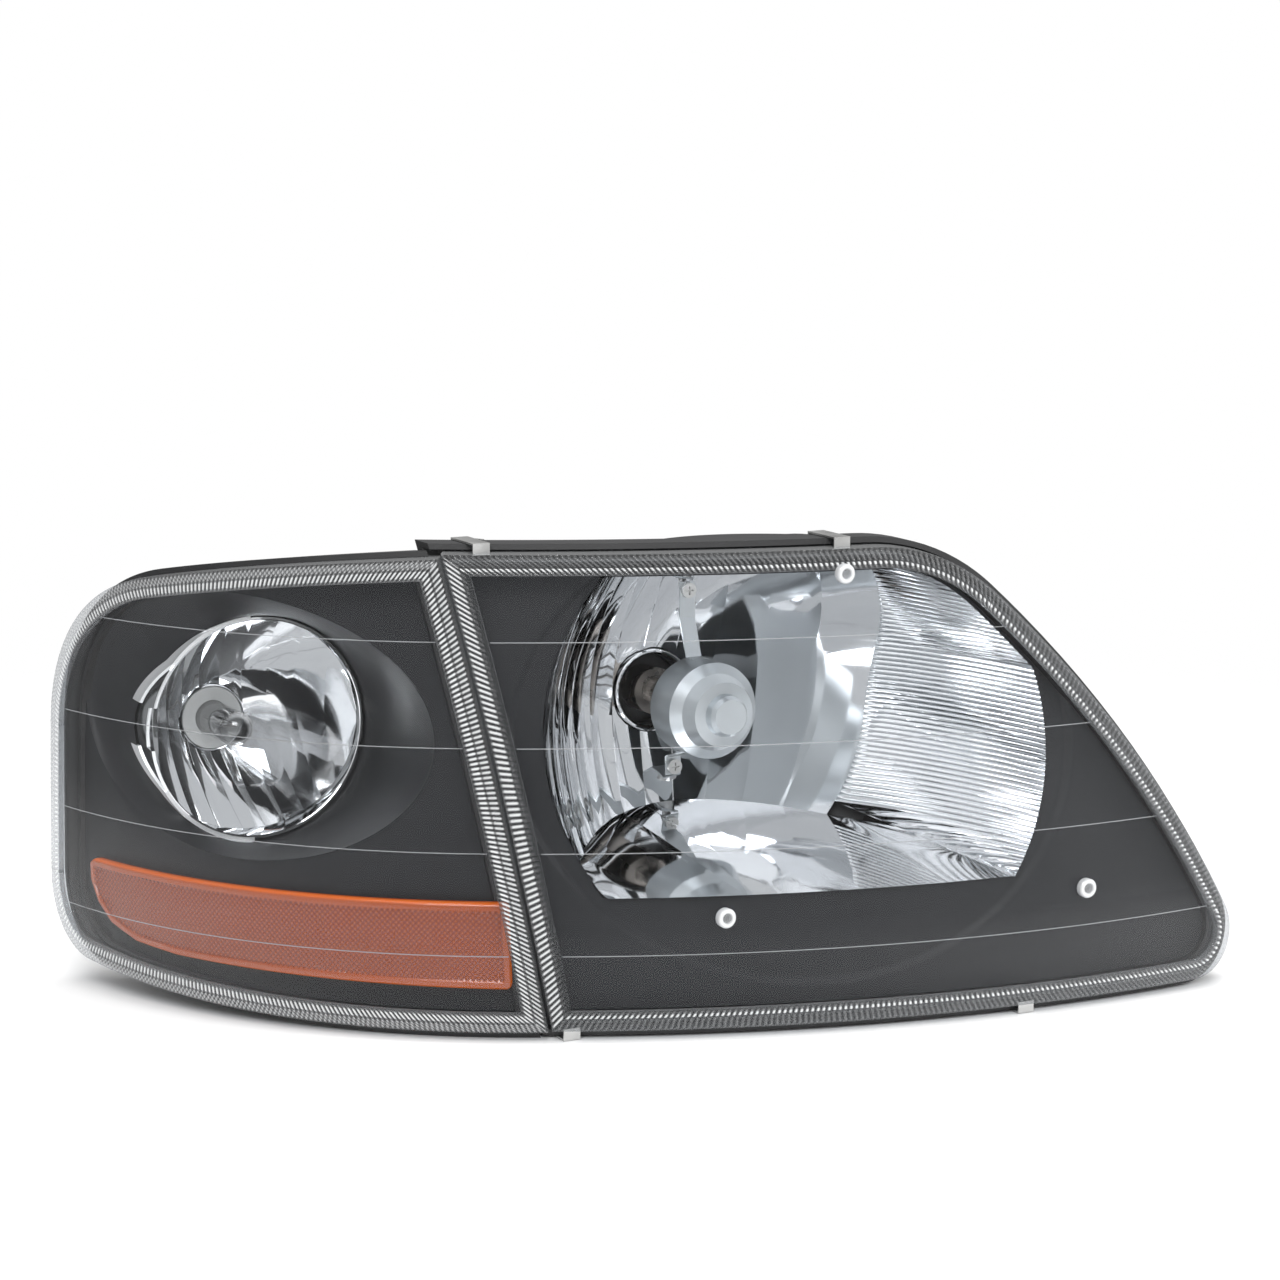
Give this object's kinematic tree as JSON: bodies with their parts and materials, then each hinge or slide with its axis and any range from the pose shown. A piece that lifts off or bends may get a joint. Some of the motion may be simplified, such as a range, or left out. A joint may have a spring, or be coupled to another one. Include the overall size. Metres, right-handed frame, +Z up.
{
  "type": "car headlight assembly",
  "caption": "Wrap-round composite headlight with a nested corner lamp: clear fluted-rim lenses, satin black bezels, faceted reflectors, amber side reflector and screw-driven aim adjusters.",
  "frame": {"origin": "middle of the pivot stud's shank, behind the headlight's lower joint-side corner", "axes": "+X across the car towards the grille, -Y to the front of the car, +Z up; the pivot stud points to +Y"},
  "size_m": [0.4827, 0.2857, 0.2138],
  "materials": {
    "clear_lens": "clear moulded plastic, fluted rim",
    "seal": "butyl bead",
    "housing": "moulded, fine grain",
    "bezel": "satin",
    "reflector": "vacuum metallised, faceted",
    "shield": "satin",
    "steel": "zinc plated",
    "bulb_base": "moulded",
    "rubber": "moulded",
    "bulb_glass": "clear quartz",
    "filament": "drawn tungsten",
    "terminal": "tinned",
    "nylon": "natural nylon",
    "amber_lens": "prismatic, transparent",
    "socket": "moulded"
  },
  "bodies": {
    "lamp": {"headlight_lens": "clear_lens", "corner_lens": "clear_lens", "headlight_lens_seal": "seal", "corner_lens_seal": "seal", "headlight_housing": "housing", "corner_housing": "housing", "headlight_bezel": "bezel", "corner_bezel": "bezel", "main_reflector": "reflector", "corner_reflector": "reflector", "bulb_shield": "shield", "shield_screws": "steel", "lens_clips": "steel", "main_bulb_base": "bulb_base", "main_bulb_o_ring": "rubber", "main_bulb_collar": "steel", "main_bulb_glass": "bulb_glass", "main_bulb_filaments": "filament", "main_bulb_terminals": "terminal", "upper_adjuster_case": "nylon", "lower_adjuster_case": "nylon", "adjuster_screws": "steel", "pivot_stud": "steel", "headlight_vent_cap": "rubber", "corner_vent_cap": "rubber", "corner_grommets": "rubber", "amber_reflector": "amber_lens"},
    "bulb_ring": {"bulb_lock_ring": "bulb_base"},
    "turn_socket_body": {"turn_socket": "socket", "turn_socket_gasket": "rubber", "turn_socket_terminals": "terminal", "turn_bulb_glass": "bulb_glass", "turn_bulb_filament": "filament"},
    "upper_driver": {"upper_adjuster_driver": "steel"},
    "upper_nut": {"upper_adjuster_nut": "nylon"},
    "upper_stud": {"upper_adjuster_stud": "steel"},
    "lower_driver": {"lower_adjuster_driver": "steel"},
    "lower_nut": {"lower_adjuster_nut": "nylon"},
    "lower_stud": {"lower_adjuster_stud": "steel"}
  },
  "joints": [
    {"name": "upper_driver_turn", "type": "hinge", "parent": "lamp", "child": "upper_driver", "pos_m": [-0.038, 0.0053, 0.141], "axis": [0, 0, 1], "range_deg": [-2520, 2520]},
    {"name": "upper_nut_turn", "type": "hinge", "parent": "lamp", "child": "upper_nut", "pos_m": [-0.038, -0.002, 0.141], "axis": [0, 1, 0], "range_deg": [-1440, 1440]},
    {"name": "upper_stud_slide", "type": "slide", "parent": "lamp", "child": "upper_stud", "axis": [0, 1, 0], "range_m": [-0.006, 0.006]},
    {"name": "lower_driver_turn", "type": "hinge", "parent": "lamp", "child": "lower_driver", "pos_m": [0.202, 0.0053, 0.001], "axis": [0, 0, 1], "range_deg": [-2520, 2520]},
    {"name": "lower_nut_turn", "type": "hinge", "parent": "lamp", "child": "lower_nut", "pos_m": [0.202, -0.002, 0.001], "axis": [0, 1, 0], "range_deg": [-1440, 1440]},
    {"name": "lower_stud_slide", "type": "slide", "parent": "lamp", "child": "lower_stud", "axis": [0, 1, 0], "range_m": [-0.006, 0.006]},
    {"name": "bulb_ring_twist", "type": "hinge", "parent": "lamp", "child": "bulb_ring", "pos_m": [0.076, 0.082, 0.094], "axis": [0, 1, 0], "range_deg": [0, 45]},
    {"name": "turn_socket_twist", "type": "hinge", "parent": "lamp", "child": "turn_socket_body", "pos_m": [-0.122, 0.132, 0.0875], "axis": [0, 1, 0], "range_deg": [0, 60]}
  ],
  "couplings": [
    {"joint": "upper_driver_turn", "follows": "upper_stud_slide", "rad_per_m": 7330.4},
    {"joint": "upper_nut_turn", "follows": "upper_stud_slide", "rad_per_m": 4188.8},
    {"joint": "lower_driver_turn", "follows": "lower_stud_slide", "rad_per_m": 7330.4},
    {"joint": "lower_nut_turn", "follows": "lower_stud_slide", "rad_per_m": 4188.8}
  ]
}
